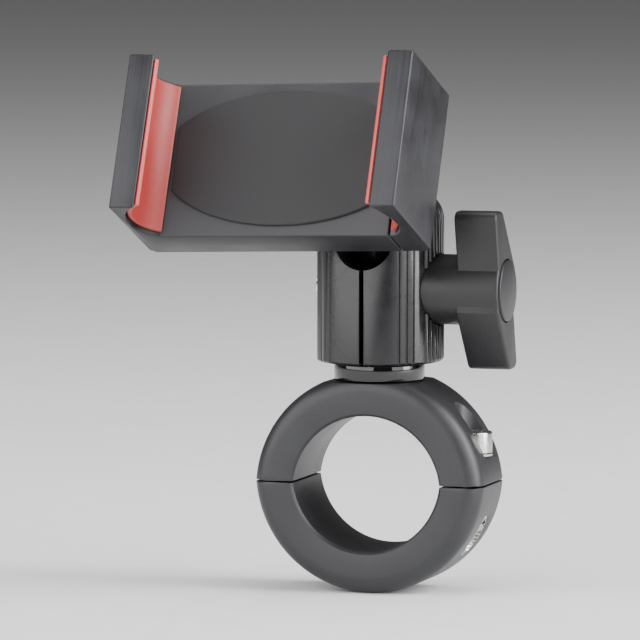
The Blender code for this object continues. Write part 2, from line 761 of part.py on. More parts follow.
def channel_depths():
    """The spring channel's y, from its front wall to the floor of the cover's recess."""
    return HOLDER_FRONT + PLATE_DEPTH + FRONT_WALL, HOLDER_BACK - COVER_THICKNESS - GAP


def recess_corners(inset):
    """The low and high corners of the cover's recess, drawn in by an inset."""
    side, edge = COVER_SIDE_RIM + inset, COVER_RIM + inset
    low = (HOLDER_LEFT + side, channel_depths()[1], HOLDER_BOTTOM + edge)
    return low, (HOLDER_LEFT + HOUSING_WIDTH - side, HOLDER_BACK, HOLDER_TOP - edge)


def holder_housing(parent):
    """The fixed jaw and the case behind the phone pad, hollowed from the back."""
    body = prism("holder_housing", housing_outline(), HOLDER_BOTTOM, HOLDER_TOP)
    front, back = channel_depths()
    low, high = TONGUE_HEIGHTS[0] - GAP, TONGUE_HEIGHTS[1] + GAP
    left, right = HOLDER_LEFT + CHANNEL_FROM, HOLDER_LEFT + HOUSING_WIDTH + MM
    cut(body, block("spring_channel", (left, front, low), (right, back, high)))
    recess_low, recess_high = recess_corners(0)
    cut(body, block("cover_recess", recess_low, (recess_high[0], 0, recess_high[2])))
    pocket_right, half = HOLDER_LEFT + LIGHT_POCKET_TO, LIGHT_POCKET_HALF_HEIGHT
    cut(body, block("light_pocket", (left, front, -half), (pocket_right, back, half)))
    cut(body, cylinder("insert_seat", INSERT_RADIUS + GAP, 0, -front, "Y"))
    for name, height in zip(("lower", "upper"), ROD_HEIGHTS):
        cut(body, rod_cut("rod_way_" + name, height, HOLDER_LEFT + ROD_WAY_FROM, right))
    deep = COVER_SCREW_DEPTH + GAP - HOLDER_BACK
    for i, (width, height) in enumerate(COVER_SCREWS):
        at = (HOLDER_LEFT + width, 0, height)
        radius = COVER_SCREW_RADIUS + GAP
        cut(body, cylinder(f"cover_hole_{i}", radius, 0, deep, "Y", at, SMALLEST_STEPS))
    finish(body, "brushed_black", parent)


def back_cover(parent):
    (left, floor, bottom), high = recess_corners(GAP)
    cover = block("back_cover", (left, floor + GAP, bottom), high)
    bevel = cover.modifiers.new("edge", "BEVEL")
    bevel.width = COVER_BEVEL
    bevel.segments = 1
    deep = RUN_OUT - HOLDER_BACK
    cut(cover, cylinder("stud_hole", INSERT_RADIUS + GAP, 0, deep, "Y"))
    for i, (width, height) in enumerate(COVER_SCREWS):
        at = (HOLDER_LEFT + width, 0, height)
        radius = COVER_SCREW_RADIUS + GAP
        cut(cover, cylinder(f"screw_way_{i}", radius, 0, deep, "Y", at, SMALLEST_STEPS))
    finish(cover, "black_plastic", parent)


def cover_screw(name, width, height, parent):
    """A small round-headed screw, from the cover's back into the housing."""
    under, top = -HOLDER_BACK - GAP, -HOLDER_BACK - GAP - COVER_HEAD_HEIGHT
    tip = COVER_SCREW_DEPTH - HOLDER_BACK
    profile = [
        (0, tip),
        (COVER_SCREW_RADIUS, tip),
        (COVER_SCREW_RADIUS, under),
        (COVER_HEAD_RADIUS, under),
        (COVER_HEAD_RADIUS * 0.8, top),
        (0, top),
    ]
    screw = turned(name, profile, "Y", steps=SMALLEST_STEPS)
    screw.location = (HOLDER_LEFT + width, 0, height)
    finish(screw, "steel", parent)


def phone_pad(parent):
    """An oval rubber pad, cut straight where it meets the jaws."""
    centre = HOLDER_WIDTH / 2
    left, right = PAD_FROM, HOUSING_WIDTH - GAP
    top = []
    for i in range(PAD_STEPS + 1):
        width = left + (right - left) * i / PAD_STEPS
        height = PAD_HALF_HEIGHT * sqrt(1 - ((width - centre) / PAD_HALF_WIDTH) ** 2)
        top.append((width, height))
    bottom = [(w, -h) for w, h in reversed(top)]
    outline = [(HOLDER_LEFT + w, HOLDER_CENTRE_Z + h) for w, h in top + bottom]
    face = HOLDER_FRONT + PLATE_DEPTH - GAP
    pad = prism("phone_pad", outline, face - PAD_THICKNESS, face, "Y")
    finish(pad, "pad_rubber", parent)


def sliding_jaw(parent):
    """The spring-loaded jaw with the tongue that keeps it in the housing."""
    jaw = prism("sliding_jaw", sliding_outline(), HOLDER_BOTTOM, HOLDER_TOP)
    front = channel_depths()[0] + GAP
    low = (HOLDER_LEFT + TONGUE_FROM, front, TONGUE_HEIGHTS[0])
    high = (HOLDER_LEFT + HOUSING_WIDTH + MM, front + TONGUE_THICKNESS, TONGUE_HEIGHTS[1])
    join(jaw, block("tongue", low, high))
    for name, height in zip(("lower", "upper"), ROD_HEIGHTS):
        high = HOLDER_LEFT + ROD_TO + GAP
        cut(jaw, rod_cut("rod_seat_" + name, height, HOLDER_LEFT + HOUSING_WIDTH, high))
    finish(jaw, "brushed_black", parent)


def jaw_lining(name, mirrored, parent):
    low, high = HOLDER_BOTTOM + LINING_INSET, HOLDER_TOP - LINING_INSET
    finish(prism(name, lining_outline(mirrored), low, high), "red_rubber", parent)


def guide_rod(name, height, parent):
    at = (0, HOLDER_FRONT + (PLATE_DEPTH + HOLDER_DEPTH) / 2, height)
    low, high = HOLDER_LEFT + ROD_FROM, HOLDER_LEFT + ROD_TO
    finish(cylinder(name, ROD_RADIUS, low, high, "X", at, SMALLEST_STEPS), "steel", parent)


def return_spring(name, height, parent):
    """A coil spring from the housing's left wall to the tongue's end."""
    wall = SPRING_RADIUS + SPRING_WIRE + GAP
    start = HOLDER_LEFT + CHANNEL_FROM + SPRING_WIRE + GAP
    end = HOLDER_LEFT + TONGUE_FROM - SPRING_WIRE - GAP
    middle = channel_depths()[0] + wall
    count = SPRING_STEPS * SPRING_TURNS
    points = []
    for i in range(count + 1):
        angle = 2 * pi * i / SPRING_STEPS
        x = start + (end - start) * i / count
        y = middle + SPRING_RADIUS * cos(angle)
        points.append((x, y, height + SPRING_RADIUS * sin(angle)))
    finish(add_object(name, curve_mesh(name, points, bevel=SPRING_WIRE)), "steel", parent)


def build():
    base = axis_empty("clamp_base_origin", (0, 0, 0))
    clamp_upper_half(base)
    swivel_post(base)
    post_screw(base)
    clamp_lower_half(axis_empty("lower_half_origin", (0, 0, 0), base))
    for side, x in SCREWS:
        clamp_washer(side, x, base)
        clamp_screw(side, x, axis_empty(side + "_screw_axis", (x, 0, 0), base))

    head = axis_empty("head_pan_axis", (0, 0, HEAD_BOTTOM), base)
    head_body(head)
    clamp_nut(head)
    knob = axis_empty("knob_axis", (0, 0, KNOB_HEIGHT), head)
    wing_knob(knob)
    knob_cap(knob)
    clamp_bolt(knob)

    pose = (radians(HOLDER_TILT), radians(HOLDER_ROLL), radians(HOLDER_TURN))
    ball = axis_empty("ball_centre", (0, 0, BALL_HEIGHT), head, pose, local=True)
    ball.rotation_mode = "YXZ"
    ball_stud(ball)
    bore = THREAD_RADIUS + GAP
    flat_ring("mounting_disc", DISC_RADIUS, bore, DISC_FROM, DISC_TO, "steel", ball)
    flat_ring("grip_washer", DISC_RADIUS, bore, WASHER_FROM, WASHER_TO, "black_plastic", ball)
    holder_housing(ball)
    back_cover(ball)
    for i, (width, height) in enumerate(COVER_SCREWS):
        cover_screw(f"cover_screw_{i + 1}", width, height, ball)
    front = -channel_depths()[0] - GAP
    flat_ring("threaded_insert", INSERT_RADIUS, bore, -HOLDER_BACK, front, "brass", ball)
    phone_pad(ball)
    jaw_lining("fixed_jaw_lining", False, ball)
    for name, height in zip(("lower_spring", "upper_spring"), SPRING_HEIGHTS):
        return_spring(name, height, ball)
    slide = axis_empty("jaw_slide_axis", (0, 0, 0), ball, local=True)
    sliding_jaw(slide)
    jaw_lining("sliding_jaw_lining", True, slide)
    for name, height in zip(("lower_guide_rod", "upper_guide_rod"), ROD_HEIGHTS):
        guide_rod(name, height, slide)


build()
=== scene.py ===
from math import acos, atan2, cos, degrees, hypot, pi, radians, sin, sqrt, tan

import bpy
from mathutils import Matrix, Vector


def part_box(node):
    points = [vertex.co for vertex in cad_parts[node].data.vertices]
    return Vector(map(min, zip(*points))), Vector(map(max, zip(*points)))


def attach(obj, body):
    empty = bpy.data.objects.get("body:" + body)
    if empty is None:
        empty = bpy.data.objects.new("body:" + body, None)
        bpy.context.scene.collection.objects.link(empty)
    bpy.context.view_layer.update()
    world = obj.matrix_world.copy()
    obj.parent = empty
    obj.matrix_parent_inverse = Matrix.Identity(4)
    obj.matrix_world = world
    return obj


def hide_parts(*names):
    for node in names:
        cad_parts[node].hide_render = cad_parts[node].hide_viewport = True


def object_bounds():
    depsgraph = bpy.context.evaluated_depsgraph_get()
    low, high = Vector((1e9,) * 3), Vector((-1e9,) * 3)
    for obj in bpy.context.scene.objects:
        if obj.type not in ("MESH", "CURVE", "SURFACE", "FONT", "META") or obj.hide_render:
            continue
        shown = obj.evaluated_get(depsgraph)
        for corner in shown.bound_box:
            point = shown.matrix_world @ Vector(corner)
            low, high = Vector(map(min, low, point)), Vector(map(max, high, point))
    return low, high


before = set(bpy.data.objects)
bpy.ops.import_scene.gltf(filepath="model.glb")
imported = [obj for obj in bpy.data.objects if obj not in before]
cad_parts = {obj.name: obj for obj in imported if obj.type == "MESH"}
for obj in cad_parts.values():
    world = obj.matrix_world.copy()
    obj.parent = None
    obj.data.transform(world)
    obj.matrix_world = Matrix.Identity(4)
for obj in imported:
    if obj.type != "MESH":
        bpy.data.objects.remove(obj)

# Spring-jawed phone holder on a ball head that clamps round a handlebar: its finished look.
#
# World frame: the origin is the centre of the handlebar bore, +Y runs along the bar away from the
# phone's screen, +X points to the wing knob and +Z is up. The phone holder is laid out in a frame
# of its own, whose origin is the ball's centre: x across the phone, y from the screen towards the
# back, z up the holder's height. All lengths are in metres.

CAD_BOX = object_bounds()
MM = 0.001
GAP = 0.3 * MM

# Clamp ring.
RING_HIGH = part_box("clamp_upper_half")[1]
RING_HALF_LENGTH = RING_HIGH.y
RING_RADIUS = 27.7 * MM
RING_FILLET = 4.2 * MM
BORE_RADIUS = 17.85 * MM
BORE_CHAMFER = 0.6 * MM
HALF_SHIFT = 1.95 * MM
SPLIT = 0.5 * MM
SCREWS = {"left": -21.8 * MM, "right": 23.0 * MM}
POCKET_RADIUS = 4.55 * MM
POCKET_FLOOR = 6.1 * MM
SCREW_HOLE_RADIUS = 2.75 * MM
THREAD_PITCH = 0.8 * MM

# Swivel post and ball head.
COLLAR_RADIUS = 10.6 * MM
POST_RADIUS = 6.2 * MM
HEAD_LOW, HEAD_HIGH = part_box("head_body")
HEAD_BOTTOM, HEAD_TOP = HEAD_LOW.z, HEAD_HIGH.z
HEAD_RADIUS = 14.9 * MM
RIB_ROOT, RIB_TOP = 14.5 * MM, 15.1 * MM
LEFT_RIB_ROOT, LEFT_RIB_TOP = 14.1 * MM, 14.5 * MM
RIBS_FROM, RIBS_TO, RIB_COUNT = 62, 118, 9
FLUTES_AT = (34.0, 41.5, 48.5)
FLUTE_DEPTH = 0.35 * MM
BALL_CENTRE = Vector((0, 0, 57.05 * MM))
BALL_RADIUS = 8.0 * MM
NOTCH_RADIUS = 7.0 * MM
NUT_TEETH = 18

# Wing knob, in line with the clamping bolt.
KNOB_HEIGHT = 45.0 * MM
KNOB_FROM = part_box("wing_knob")[0].x
WING_FROM, WING_TO = 20.6 * MM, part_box("wing_knob")[1].x
KNOB_STEM_RADIUS = 8.2 * MM
CAP_RADIUS = 7.15 * MM

# Phone holder, in its own frame.
HOLDER_PLACE = (
    Matrix.Translation(BALL_CENTRE)
    @ Matrix.Rotation(radians(-3.8), 4, "Z")
    @ Matrix.Rotation(radians(-25.1), 4, "X")
    @ Matrix.Rotation(radians(-1.92), 4, "Y")
)
HOLDER_WIDTH, HOLDER_DEPTH, HOLDER_HEIGHT = 69.4 * MM, 28.8 * MM, 38.1 * MM
HOLDER_LEFT, HOLDER_FRONT, HOLDER_BACK = -48.95 * MM, -47.0 * MM, -18.2 * MM
HOLDER_BOTTOM, HOLDER_TOP = -10.95 * MM, 27.15 * MM
PLATE_DEPTH = 18.7 * MM
HOUSING_WIDTH = 61.8 * MM
BACK_CHAMFER = 1.6 * MM
LIP = ((6.25 * MM, 0.4 * MM), (2.0 * MM, 6.0 * MM), (1.4 * MM, 10.7 * MM))
HEEL = ((1.4 * MM, 10.7 * MM), (2.2 * MM, 14.6 * MM), (5.9 * MM, 18.7 * MM))
# The sliding jaw's hollow is shallower, and deepest further back.
SLIDING_LIP = ((6.25 * MM, 0.4 * MM), (3.9 * MM, 6.8 * MM), (3.1 * MM, 12.3 * MM))
SLIDING_HEEL = ((3.1 * MM, 12.3 * MM), (4.0 * MM, 15.8 * MM), (5.9 * MM, 18.7 * MM))
CHANNEL_FRONT = HOLDER_FRONT + 20.5 * MM
RECESS_FLOOR = HOLDER_BACK - 1.9 * MM
ROD_DEPTH = HOLDER_FRONT + (PLATE_DEPTH + HOLDER_DEPTH) / 2
ROD_HEIGHTS = {"lower_guide_rod": -7.9 * MM, "upper_guide_rod": 24.1 * MM}
COVER_SCREWS = ((5.5 * MM, -7.5 * MM), (5.5 * MM, 23.7 * MM), (36.5 * MM, 0.6 * MM))


# ---- materials ----


def linear(code):
    """The linear colour of an sRGB hex code, with alpha 1."""
    parts = [int(code[i : i + 2], 16) / 255 for i in (0, 2, 4)]
    return [p / 12.92 if p <= 0.04045 else ((p + 0.055) / 1.055) ** 2.4 for p in parts] + [1]


def add_node(tree, kind, sockets=None, links=(), **settings):
    """Adds a node, sets its properties and sockets, and links (node, output) pairs into it."""
    node = tree.nodes.new(kind)
    for key, value in settings.items():
        setattr(node, key, value)
    for key, value in (sockets or {}).items():
        node.inputs[key].default_value = value
    for source, output, target in links:
        tree.links.new(source.outputs[output], node.inputs[target])
    return node


def surface(name, colours, roughness, grain, relief, stretch=(1, 1, 1), turned=False, **sockets):
    """A grained finish. Grain is the pattern's size and relief its height, both in metres."""
    material = bpy.data.materials.new(name)
    material.use_nodes = True
    tree = material.node_tree
    shader = tree.nodes["Principled BSDF"]
    for key, value in sockets.items():
        shader.inputs[key.replace("_", " ")].default_value = value
    place = add_node(tree, "ShaderNodeTexCoord")
    output = "Object"
    if turned:
        turn = HOLDER_PLACE.to_3x3().inverted().to_euler("XYZ")
        place = add_node(
            tree, "ShaderNodeMapping", {"Rotation": turn}, [(place, output, "Vector")]
        )
        output = "Vector"
    scaled = add_node(tree, "ShaderNodeMapping", {"Scale": stretch}, [(place, output, "Vector")])
    fine = add_node(
        tree,
        "ShaderNodeTexNoise",
        {"Scale": 1 / grain, "Detail": 3, "Roughness": 0.6},
        [(scaled, "Vector", "Vector")],
    )
    broad = add_node(
        tree, "ShaderNodeTexNoise", {"Scale": 90, "Detail": 2}, [(place, output, "Vector")]
    )
    blend = add_node(
        tree,
        "ShaderNodeMath",
        links=[(fine, "Fac", 0), (broad, "Fac", 1)],
        operation="ADD",
    )
    tint = add_node(tree, "ShaderNodeValToRGB")
    half = add_node(tree, "ShaderNodeMath", {1: 0.5}, [(blend, 0, 0)], operation="MULTIPLY")
    tree.links.new(half.outputs[0], tint.inputs["Fac"])
    tint.color_ramp.elements[0].position = 0.35
    tint.color_ramp.elements[1].position = 0.65
    tint.color_ramp.elements[0].color = linear(colours[0])
    tint.color_ramp.elements[1].color = linear(colours[1])
    shine = add_node(
        tree,
        "ShaderNodeMapRange",
        {"From Min": 0.35, "From Max": 0.65, "To Min": roughness[0], "To Max": roughness[1]},
        [(half, 0, "Value")],
    )
    bump = add_node(
        tree, "ShaderNodeBump", {"Strength": 0.6, "Distance": relief}, [(fine, "Fac", "Height")]
    )
    tree.links.new(tint.outputs["Color"], shader.inputs["Base Color"])
    tree.links.new(shine.outputs["Result"], shader.inputs["Roughness"])
    tree.links.new(bump.outputs["Normal"], shader.inputs["Normal"])
    return material


# Bead-blasted and anodised aluminium: an even dark grey with a soft, wide shine. The blast's
# 0.1 mm grain is drawn at 0.5 mm, so that it shows at all.
SATIN = surface("blasted_anodised_aluminium", ("2C2C2F", "343437"), (0.36, 0.46), 0.5 * MM,
                0.006 * MM, Metallic=0.25)
# Polished and black anodised aluminium: a near mirror that shows the lamps as sharp blocks.
GLOSS = surface("polished_black_anodising", ("050506", "08080A"), (0.03, 0.06), 6 * MM,
                0.002 * MM, Coat_Weight=0.4)
# Sprayed black enamel on die-cast zinc: deep black, with the soft waviness of the casting below.
ENAMEL = surface("black_enamel_on_zinc", ("101012", "17171A"), (0.24, 0.34), 2.5 * MM, 0.012 * MM,
                 Coat_Weight=0.15, Coat_Roughness=0.2)
# Blackened steel ball: smooth, with a dim shine from its oil.
BALL_BLACK = surface("oiled_black_steel", ("0C0C0D", "151517"), (0.22, 0.3), 3 * MM, 0.004 * MM)
# Brushed and black anodised sheet. The belt leaves lines 0.1 mm apart and 10 to 20 mm long, drawn
# 0.35 mm apart. They run up the holder on its outer faces.
BRUSHED = surface("brushed_black_anodising", ("232326", "38383C"), (0.34, 0.5), 0.35 * MM,
                  0.02 * MM, (1, 1, 0.02), True, Metallic=0.35)
# The same sheet where it is seen edge on: the lines run across the phone.
BRUSHED_ACROSS = surface("brushed_across_anodising", ("1C1C1E", "2A2A2D"), (0.4, 0.52), 0.35 * MM,
                         0.015 * MM, (0.02, 1, 1), True, Metallic=0.3)
# Smooth moulded ABS plate behind the pad, with a fine spark-eroded grain.
PLATE = surface("grained_abs_plate", ("2E2E31", "363639"), (0.4, 0.48), 0.4 * MM, 0.006 * MM,
                turned=True)
# Pebbled glass-filled nylon: bumps of about 0.6 mm that catch small points of light.
PEBBLED = surface("pebbled_black_nylon", ("161618", "202022"), (0.4, 0.52), 0.6 * MM, 0.09 * MM)
# Smooth moulded ABS, satin.
SMOOTH = surface("satin_black_abs", ("1E1E20", "262628"), (0.36, 0.44), 0.8 * MM, 0.004 * MM)
# Matt silicone pad: soft, nearly no shine, a trace of dust in its skin.
PAD = surface("matt_grey_silicone", ("222224", "2A2A2C"), (0.62, 0.74), 0.5 * MM, 0.01 * MM,
              turned=True)
# Red moulded silicone: saturated, with a faint skin.
RED = surface("red_silicone", ("A03330", "AC3B38"), (0.42, 0.54), 0.7 * MM, 0.008 * MM,
              turned=True, Subsurface_Weight=0.05)
# A lighter copy of the red silicone, used for a painted highlight along the lining's lip.
RED_PAINTED_HIGHLIGHT = surface("red_silicone_painted_highlight", ("BC4A46", "C85450"), (0.4, 0.5), 0.7 * MM, 0.006 * MM,
                  turned=True)
# Zinc-plated steel, turned: bright, with a little variation in its plating.
STEEL = surface("zinc_plated_steel", ("B4B4B2", "CCCCCA"), (0.16, 0.3), 0.6 * MM, 0.01 * MM,
                Metallic=1.0)
# Turned brass insert.
BRASS = surface("turned_brass", ("A8873F", "C2A25C"), (0.22, 0.34), 0.6 * MM, 0.008 * MM,
                Metallic=1.0)


# ---- modelling ----


def deselect():
    if bpy.context.mode != "OBJECT":
        bpy.ops.object.mode_set(mode="OBJECT")
    bpy.ops.object.select_all(action="DESELECT")


def make_active(obj):
    deselect()
    obj.select_set(True)
    bpy.context.view_layer.objects.active = obj


def start_editing(obj):
    make_active(obj)
    bpy.ops.object.mode_set(mode="EDIT")
    bpy.ops.mesh.select_all(action="SELECT")


def stop_editing():
    bpy.ops.object.mode_set(mode="OBJECT")


def edit_edges(obj, test):
    """Starts editing with those edges selected whose two ends both pass the test."""
    start_editing(obj)
    bpy.ops.mesh.select_mode(type="EDGE")
    bpy.ops.mesh.select_all(action="DESELECT")
    stop_editing()
    points = obj.data.vertices
    for edge in obj.data.edges:
        edge.select = all(test(points[i].co) for i in edge.vertices)
    bpy.ops.object.mode_set(mode="EDIT")


def round_edges(obj, test, width, segments=3):
    edit_edges(obj, test)
    bpy.ops.mesh.bevel(offset=width, segments=segments, affect="EDGES")
    stop_editing()


def traced(name, points, kind="face"):
    """An outline drawn from point to point: a chain, a closed loop or a filled face."""
    deselect()
    bpy.ops.mesh.primitive_plane_add(size=MM)
    obj = bpy.context.object
    obj.name = name
    bpy.ops.object.mode_set(mode="EDIT")
    bpy.ops.mesh.select_mode(type="VERT")
    bpy.ops.mesh.select_all(action="SELECT")
    bpy.ops.mesh.merge(type="CENTER")
    bpy.ops.transform.translate(value=points[0])
    for a, b in zip(points, points[1:]):
        step = Vector(b) - Vector(a)
        bpy.ops.mesh.extrude_vertices_move(TRANSFORM_OT_translate={"value": step})
    bpy.ops.mesh.select_all(action="SELECT")
    if kind != "chain":
        bpy.ops.mesh.edge_face_add()
    if kind == "loop":
        bpy.ops.mesh.delete(type="ONLY_FACE")
    stop_editing()
    return obj


def close_up(obj):
    """Merges doubled points and turns the faces outwards."""
    start_editing(obj)
    bpy.ops.mesh.remove_doubles(threshold=0.002 * MM)
    bpy.ops.mesh.normals_make_consistent(inside=False)
    stop_editing()
    return obj


def spun(name, points, axis, centre=(0, 0, 0), steps=96, kind="chain"):
    """A profile turned once round the axis."""
    obj = traced(name, points, kind)
    start_editing(obj)
    bpy.ops.mesh.spin(steps=steps, angle=2 * pi, center=centre, axis=axis)
    stop_editing()
    return close_up(obj)


def raised(name, points, offset):
    """A filled outline drawn out by the offset."""
    obj = traced(name, points)
    start_editing(obj)
    bpy.ops.mesh.extrude_region_move(TRANSFORM_OT_translate={"value": offset})
    stop_editing()
    return close_up(obj)


def slab(name, low, high):
    low, high = Vector(low), Vector(high)
    deselect()
    bpy.ops.mesh.primitive_cube_add(size=1, location=(low + high) / 2, scale=high - low)
    obj = bpy.context.object
    obj.name = name
    bpy.ops.object.transform_apply(location=True, rotation=True, scale=True)
    return obj


TURN_TO = {"X": (0, pi / 2, 0), "Y": (-pi / 2, 0, 0), "Z": (0, 0, 0)}


def drill(name, radius, low, high, axis="Z", at=(0, 0, 0), steps=64):
    """A round cutter along the axis, from low to high on it, moved by at."""
    middle = Vector([(low + high) / 2 if axis == letter else 0 for letter in "XYZ"])
    deselect()
    bpy.ops.mesh.primitive_cylinder_add(
        vertices=steps, radius=radius, depth=high - low, location=middle + Vector(at),
        rotation=TURN_TO[axis],
    )
    obj = bpy.context.object
    obj.name = name
    bpy.ops.object.transform_apply(location=True, rotation=True, scale=True)
    return obj


def apply(obj, modifier):
    make_active(obj)
    bpy.ops.object.modifier_apply(modifier=modifier.name)


def carve(obj, cutter, operation="DIFFERENCE"):
    modifier = obj.modifiers.new("carve", "BOOLEAN")
    modifier.object = cutter
    modifier.operation = operation
    modifier.solver = "EXACT"
    apply(obj, modifier)
    bpy.data.objects.remove(cutter)
    return close_up(obj)


def soften(obj, width, segments=2, angle=40):
    """Rounds every edge that is sharper than the angle."""
    modifier = obj.modifiers.new("soften", "BEVEL")
    modifier.width = width
    modifier.segments = segments
    modifier.limit_method = "ANGLE"
    modifier.angle_limit = radians(angle)
    apply(obj, modifier)
    return obj


def complete(obj, material, body, *nodes, slot=None, angle=35):
    """Shades the piece smooth, gives it its material and hangs it on its body."""
    make_active(obj)
    bpy.ops.object.shade_smooth_by_angle(angle=radians(angle))
    if not obj.data.materials:
        obj.data.materials.append(material)
    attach(obj, body)
    if nodes:
        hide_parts(*nodes)
    return obj


def into_holder(obj):
    """Moves a piece laid out in the holder's frame to its place."""
    make_active(obj)
    obj.matrix_world = HOLDER_PLACE
    bpy.ops.object.transform_apply(location=True, rotation=True, scale=True)
    return obj


def paint_faces(obj, material, test):
    """Gives the faces that pass the test, by centre and normal, one more material."""
    obj.data.materials.append(material)
    slot = len(obj.data.materials) - 1
    for face in obj.data.polygons:
        if test(face.center, face.normal):
            face.material_index = slot


def arc(radius, start, end, count, centre=(0, 0)):
    """Points on a circle, from one angle in degrees to another."""
    angles = [radians(start + (end - start) * i / (count - 1)) for i in range(count)]
    return [(centre[0] + radius * cos(a), centre[1] + radius * sin(a)) for a in angles]


def arc_through(first, middle, last, count):
    """Points on the circle through three points, from the first to the last."""
    (ax, ay), (bx, by), (cx, cy) = first, middle, last
    d = 2 * (ax * (by - cy) + bx * (cy - ay) + cx * (ay - by))
    a, b, c = ax * ax + ay * ay, bx * bx + by * by, cx * cx + cy * cy
    ux = (a * (by - cy) + b * (cy - ay) + c * (ay - by)) / d
    uy = (a * (cx - bx) + b * (ax - cx) + c * (bx - ax)) / d
    start, end = atan2(ay - uy, ax - ux), atan2(cy - uy, cx - ux)
    if abs(end - start) > pi:
        end += 2 * pi if end < start else -2 * pi
    return arc(hypot(ax - ux, ay - uy), degrees(start), degrees(end), count, (ux, uy))


def offset_curve(points, distance):
    """An open curve moved sideways, to the right of its direction."""
    moved = []
    for i, (x, y) in enumerate(points):
        before, after = points[max(i - 1, 0)], points[min(i + 1, len(points) - 1)]
        dx, dy = after[0] - before[0], after[1] - before[1]
        length = hypot(dx, dy)
        moved.append((x + dy / length * distance, y - dx / length * distance))
    return moved


# ---- handlebar clamp ----


def ring_half(name, side):
    """One half ring with rounded outer edges, cut level at the split."""
    height = -side * HALF_SHIFT
    half, inner = RING_HALF_LENGTH, RING_RADIUS - RING_FILLET
    outline = arc(RING_FILLET, 90, 0, 12, (inner, half - RING_FILLET))
    outline += arc(RING_FILLET, 0, -90, 12, (inner, RING_FILLET - half))
    outline += [(BORE_RADIUS + BORE_CHAMFER, -half), (BORE_RADIUS, BORE_CHAMFER - half)]
    outline += [(BORE_RADIUS, half - BORE_CHAMFER), (BORE_RADIUS + BORE_CHAMFER, half)]
    points = [(r, y, height) for r, y in outline]
    ring = spun(name, points, (0, 1, 0), (0, 0, height), 144, "loop")
    start_editing(ring)
    level = (0, 0, side * SPLIT / 2)
    bpy.ops.mesh.bisect(plane_co=level, plane_no=(0, 0, side), use_fill=True, clear_inner=True)
    stop_editing()
    return close_up(ring)


def upper_half():
    ring = ring_half("clamp_ring_upper", 1)
    start_editing(ring)
    seat = (0, 0, RING_HIGH.z)
    bpy.ops.mesh.bisect(plane_co=seat, plane_no=(0, 0, 1), use_fill=True, clear_outer=True)
    stop_editing()
    close_up(ring)
    for x in SCREWS.values():
        carve(ring, drill("pocket", POCKET_RADIUS, POCKET_FLOOR, 60 * MM, at=(x, 0, 0)))
        carve(ring, drill("hole", SCREW_HOLE_RADIUS, -60 * MM, 60 * MM, at=(x, 0, 0)))
    carve(ring, drill("post_screw_head", 4.5 * MM, 0, 19.4 * MM))
    soften(ring, 0.3 * MM)
    complete(ring, SATIN, "clamp_base", "clamp_upper_half", slot="satin_coating")


def tapped_sleeve(side, x, shell):
    """The cut thread in the lower half, bright where it breaks out of the ring's side."""
    count = round(20 * MM / THREAD_PITCH)
    inner = []
    for i in range(count):
        z = -0.6 * MM - i * THREAD_PITCH
        inner += [(x + 2.72 * MM, 0, z), (x + 2.54 * MM, 0, z - THREAD_PITCH / 2)]
    low = inner[-1][2]
    points = inner + [(x + 2.95 * MM, 0, low), (x + 2.95 * MM, 0, -0.6 * MM)]
    sleeve = spun("tapped_thread_" + side, points, (0, 0, 1), (x, 0, 0), 48, "loop")
    carve(sleeve, shell, "INTERSECT")
    complete(sleeve, STEEL, "lower_half", slot="steel")


def lower_half():
    ring = ring_half("clamp_ring_lower", -1)
    for side, x in SCREWS.items():
        make_active(ring)
        shell = ring.copy()
        shell.data = ring.data.copy()
        bpy.context.scene.collection.objects.link(shell)
        tapped_sleeve(side, x, shell)
    for x in SCREWS.values():
        carve(ring, drill("hole", 3.0 * MM, -60 * MM, 60 * MM, at=(x, 0, 0)))
    soften(ring, 0.3 * MM)
    complete(ring, SATIN, "lower_half", "clamp_lower_half", slot="satin_coating")


def clamp_screw(side, x):
    """An M5 socket screw with a rounded head, a hexagon socket and a rolled thread."""
    low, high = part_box("clamp_screw_" + side)
    under = high.z - 4.9 * MM
    outline = [(0, high.z)] + arc(0.5 * MM, 90, 0, 6, (3.75 * MM, high.z - 0.5 * MM))
    outline += [(4.25 * MM, under), (2.5 * MM, under)]
    z = under - 0.8 * MM
    while z - THREAD_PITCH > low.z:
        outline += [(2.5 * MM, z), (2.12 * MM, z - THREAD_PITCH / 2)]
        z -= THREAD_PITCH
    outline += [(1.9 * MM, low.z), (0, low.z)]
    points = [(x + r, 0, z) for r, z in outline]
    screw = spun("socket_screw_" + side, points, (0, 0, 1), (x, 0, 0), 64)
    socket = drill("socket", 4 * MM / sqrt(3), high.z - 2.4 * MM, 40 * MM, at=(x, 0, 0), steps=6)
    carve(screw, socket)
    complete(screw, STEEL, side + "_screw", "clamp_screw_" + side, slot="steel")


def swivel_post():
    low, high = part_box("swivel_post")
    collar = HEAD_BOTTOM - GAP
    outline = [(0, high.z), (POST_RADIUS - 0.8 * MM, high.z), (POST_RADIUS, high.z - 0.8 * MM)]
    outline += [(POST_RADIUS, collar)]
    outline += arc(0.35 * MM, 90, 0, 5, (COLLAR_RADIUS - 0.35 * MM, collar - 0.35 * MM))
    outline += arc(0.25 * MM, 0, -90, 4, (COLLAR_RADIUS - 0.25 * MM, low.z + 0.25 * MM))
    outline += [(0, low.z)]
    post = spun("swivel_collar", [(r, 0, z) for r, z in outline], (0, 0, 1), steps=128)
    carve(post, drill("post_thread", SCREW_HOLE_RADIUS, 0, 32.3 * MM))
    complete(post, GLOSS, "clamp_base", "swivel_post", slot="gloss_coating")


# ---- ball head ----


